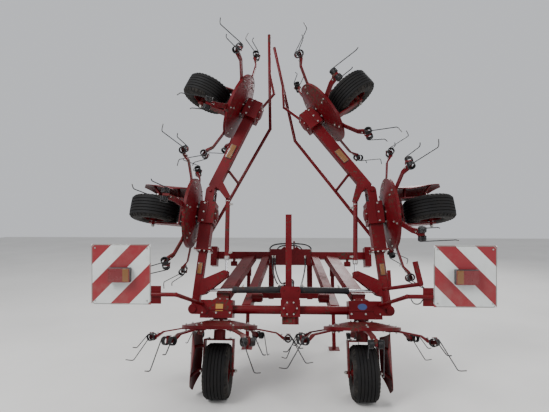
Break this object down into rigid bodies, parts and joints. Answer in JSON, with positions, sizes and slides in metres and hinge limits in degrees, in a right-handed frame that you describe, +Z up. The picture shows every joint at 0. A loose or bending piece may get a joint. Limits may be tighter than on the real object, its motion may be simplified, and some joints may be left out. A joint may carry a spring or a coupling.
{
  "type": "hay tedder",
  "caption": "Mounted rotary hay tedder with gauge wheels under tined rotors, folding wings, a three-point headstock, parking legs and warning boards, folded for transport.",
  "frame": {"origin": "on the ground, at the middle of the parked machine's box", "axes": "+X to the machine's right, +Y forward to the tractor, +Z up"},
  "size_m": [3.0368, 2.4115, 3.5794],
  "materials": {
    "paint": "worn gloss enamel",
    "tyre": "matt, dusty",
    "tine": "black spring steel, worn at the tips",
    "rod": "hard chrome",
    "cylinder": "satin black",
    "board": "retro-reflecting stripes",
    "lamp": "moulded",
    "hose": "black hose cover",
    "shaft": "dull steel"
  },
  "bodies": {
    "frame": {"rotor_beam": "paint", "centre_gearbox": "paint", "side_boxes": "paint", "frame_arms": "paint", "drawbars": "paint", "cross_beam": "paint", "headstock": "paint", "driveline": "shaft", "centre_post": "paint", "carriers_1": "paint", "board_arms": "paint", "boards": "board", "board_lamps": "lamp", "hoses": "hose"},
    "leg_l": {"leg_l": "paint"},
    "wing_in_l": {"wing_in_l": "paint", "carrier_2l": "paint"},
    "wing_out_l": {"wing_out_l": "paint", "carrier_3l": "paint", "guard_l": "paint"},
    "fold_barrel_l": {"fold_barrel_l": "cylinder"},
    "fold_rod_l": {"fold_rod_l": "rod"},
    "tilt_barrel_l": {"tilt_barrel_l": "cylinder"},
    "tilt_rod_l": {"tilt_rod_l": "rod"},
    "leg_r": {"leg_r": "paint"},
    "wing_in_r": {"wing_in_r": "paint", "carrier_2r": "paint"},
    "wing_out_r": {"wing_out_r": "paint", "carrier_3r": "paint", "guard_r": "paint"},
    "fold_barrel_r": {"fold_barrel_r": "cylinder"},
    "fold_rod_r": {"fold_rod_r": "rod"},
    "tilt_barrel_r": {"tilt_barrel_r": "cylinder"},
    "tilt_rod_r": {"tilt_rod_r": "rod"},
    "rotor_1r": {"rotor_1r": "paint", "tines_1r": "tine"},
    "wheel_1r": {"tyre_1r": "tyre", "rim_1r": "paint"},
    "rotor_2r": {"rotor_2r": "paint", "tines_2r": "tine"},
    "wheel_2r": {"tyre_2r": "tyre", "rim_2r": "paint"},
    "rotor_3r": {"rotor_3r": "paint", "tines_3r": "tine"},
    "wheel_3r": {"tyre_3r": "tyre", "rim_3r": "paint"},
    "rotor_1l": {"rotor_1l": "paint", "tines_1l": "tine"},
    "wheel_1l": {"tyre_1l": "tyre", "rim_1l": "paint"},
    "rotor_2l": {"rotor_2l": "paint", "tines_2l": "tine"},
    "wheel_2l": {"tyre_2l": "tyre", "rim_2l": "paint"},
    "rotor_3l": {"rotor_3l": "paint", "tines_3l": "tine"},
    "wheel_3l": {"tyre_3l": "tyre", "rim_3l": "paint"}
  },
  "joints": [
    {"name": "wing_in_l", "type": "hinge", "parent": "frame", "child": "wing_in_l", "pos_m": [-0.85, -0.3039, 0.724], "axis": [0, -0.9659, 0.2588], "range_deg": [0, 95]},
    {"name": "wing_out_l", "type": "hinge", "parent": "wing_in_l", "child": "wing_out_l", "pos_m": [-0.755, -0.02286, 1.77285], "axis": [0, -0.9659, 0.2588], "range_deg": [0, 19]},
    {"name": "fold_barrel_l", "type": "hinge", "parent": "frame", "child": "fold_barrel_l", "pos_m": [-0.062, -0.25861, 0.89304], "axis": [0, -0.9659, 0.2588], "range_deg": [0, 4.66]},
    {"name": "fold_rod_l", "type": "slide", "parent": "fold_barrel_l", "child": "fold_rod_l", "axis": [-0.9999, -0.0034, -0.0126], "range_m": [0, 0.27708]},
    {"name": "tilt_barrel_l", "type": "hinge", "parent": "wing_out_l", "child": "tilt_barrel_l", "pos_m": [-0.59613, -0.0355, 1.72568], "axis": [0, -0.9659, 0.2588], "range_deg": [-19.61, 0]},
    {"name": "tilt_rod_l", "type": "slide", "parent": "tilt_barrel_l", "child": "tilt_rod_l", "axis": [0.0191, -0.2588, -0.9657], "range_m": [0, 0.05428]},
    {"name": "leg_l", "type": "slide", "parent": "frame", "child": "leg_l", "axis": [0, 0.2588, 0.9659], "range_m": [0, 0.3]},
    {"name": "wing_in_r", "type": "hinge", "parent": "frame", "child": "wing_in_r", "pos_m": [0.85, -0.3039, 0.724], "axis": [0, 0.9659, -0.2588], "range_deg": [0, 95]},
    {"name": "wing_out_r", "type": "hinge", "parent": "wing_in_r", "child": "wing_out_r", "pos_m": [0.755, -0.02286, 1.77285], "axis": [0, 0.9659, -0.2588], "range_deg": [0, 32]},
    {"name": "fold_barrel_r", "type": "hinge", "parent": "frame", "child": "fold_barrel_r", "pos_m": [0.062, -0.25861, 0.89304], "axis": [0, 0.9659, -0.2588], "range_deg": [0, 4.66]},
    {"name": "fold_rod_r", "type": "slide", "parent": "fold_barrel_r", "child": "fold_rod_r", "axis": [0.9999, -0.0034, -0.0126], "range_m": [0, 0.27708]},
    {"name": "tilt_barrel_r", "type": "hinge", "parent": "wing_out_r", "child": "tilt_barrel_r", "pos_m": [0.61119, -0.04443, 1.69236], "axis": [0, 0.9659, -0.2588], "range_deg": [-33.93, 0]},
    {"name": "tilt_rod_r", "type": "slide", "parent": "tilt_barrel_r", "child": "tilt_rod_r", "axis": [-0.042, -0.2586, -0.9651], "range_m": [0, 0.08829]},
    {"name": "leg_r", "type": "slide", "parent": "frame", "child": "leg_r", "axis": [0, 0.2588, 0.9659], "range_m": [0, 0.3]},
    {"name": "rotor_1r", "type": "hinge", "parent": "frame", "child": "rotor_1r", "pos_m": [0.62, -0.3039, 0.724], "axis": [0, 0.2588, 0.9659], "continuous": true},
    {"name": "wheel_1r", "type": "hinge", "parent": "frame", "child": "wheel_1r", "pos_m": [0.62, -0.43667, 0.22848], "axis": [1, 0, 0], "continuous": true},
    {"name": "rotor_2r", "type": "hinge", "parent": "wing_in_r", "child": "rotor_2r", "pos_m": [0.77417, -0.07958, 1.56116], "axis": [-0.9962, -0.0226, -0.0842], "continuous": true},
    {"name": "wheel_2r", "type": "hinge", "parent": "wing_in_r", "child": "wheel_2r", "pos_m": [1.28522, -0.06801, 1.60434], "axis": [-0.0872, 0.2578, 0.9623], "continuous": true},
    {"name": "rotor_3r", "type": "hinge", "parent": "wing_out_r", "child": "rotor_3r", "pos_m": [0.20133, 0.16731, 2.48256], "axis": [-0.7986, -0.1558, -0.5813], "continuous": true},
    {"name": "wheel_3r", "type": "hinge", "parent": "wing_out_r", "child": "wheel_3r", "pos_m": [0.61103, 0.24721, 2.78077], "axis": [-0.6018, 0.2067, 0.7714], "continuous": true},
    {"name": "rotor_1l", "type": "hinge", "parent": "frame", "child": "rotor_1l", "pos_m": [-0.62, -0.3039, 0.724], "axis": [0, -0.2588, -0.9659], "continuous": true},
    {"name": "wheel_1l", "type": "hinge", "parent": "frame", "child": "wheel_1l", "pos_m": [-0.62, -0.43667, 0.22848], "axis": [-1, 0, 0], "continuous": true},
    {"name": "rotor_2l", "type": "hinge", "parent": "wing_in_l", "child": "rotor_2l", "pos_m": [-0.77417, -0.07958, 1.56116], "axis": [-0.9962, 0.0226, 0.0842], "continuous": true},
    {"name": "wheel_2l", "type": "hinge", "parent": "wing_in_l", "child": "wheel_2l", "pos_m": [-1.28522, -0.06801, 1.60434], "axis": [0.0872, 0.2578, 0.9623], "continuous": true},
    {"name": "rotor_3l", "type": "hinge", "parent": "wing_out_l", "child": "rotor_3l", "pos_m": [-0.3808, 0.19467, 2.58468], "axis": [-0.9135, 0.1053, 0.3929], "continuous": true},
    {"name": "wheel_3l", "type": "hinge", "parent": "wing_out_l", "child": "wheel_3l", "pos_m": [-0.84945, 0.24867, 2.78622], "axis": [0.4067, 0.2364, 0.8824], "continuous": true}
  ],
  "couplings": [
    {"joint": "wing_out_l", "follows": "wing_in_l", "ratio": 0.2},
    {"joint": "fold_barrel_l", "follows": "wing_in_l", "ratio": 0.049021},
    {"joint": "fold_rod_l", "follows": "wing_in_l", "m_per_rad": 0.16711},
    {"joint": "tilt_barrel_l", "follows": "wing_in_l", "ratio": -0.20645},
    {"joint": "tilt_rod_l", "follows": "wing_in_l", "m_per_rad": 0.032737},
    {"joint": "wing_out_r", "follows": "wing_in_r", "ratio": 0.33684},
    {"joint": "fold_barrel_r", "follows": "wing_in_r", "ratio": 0.049021},
    {"joint": "fold_rod_r", "follows": "wing_in_r", "m_per_rad": 0.16711},
    {"joint": "tilt_barrel_r", "follows": "wing_in_r", "ratio": -0.3571},
    {"joint": "tilt_rod_r", "follows": "wing_in_r", "m_per_rad": 0.05325},
    {"joint": "rotor_2r", "follows": "rotor_1r", "ratio": -1},
    {"joint": "rotor_3r", "follows": "rotor_1r", "ratio": 1},
    {"joint": "rotor_1l", "follows": "rotor_1r", "ratio": 1},
    {"joint": "rotor_2l", "follows": "rotor_1r", "ratio": -1},
    {"joint": "rotor_3l", "follows": "rotor_1r", "ratio": 1}
  ]
}
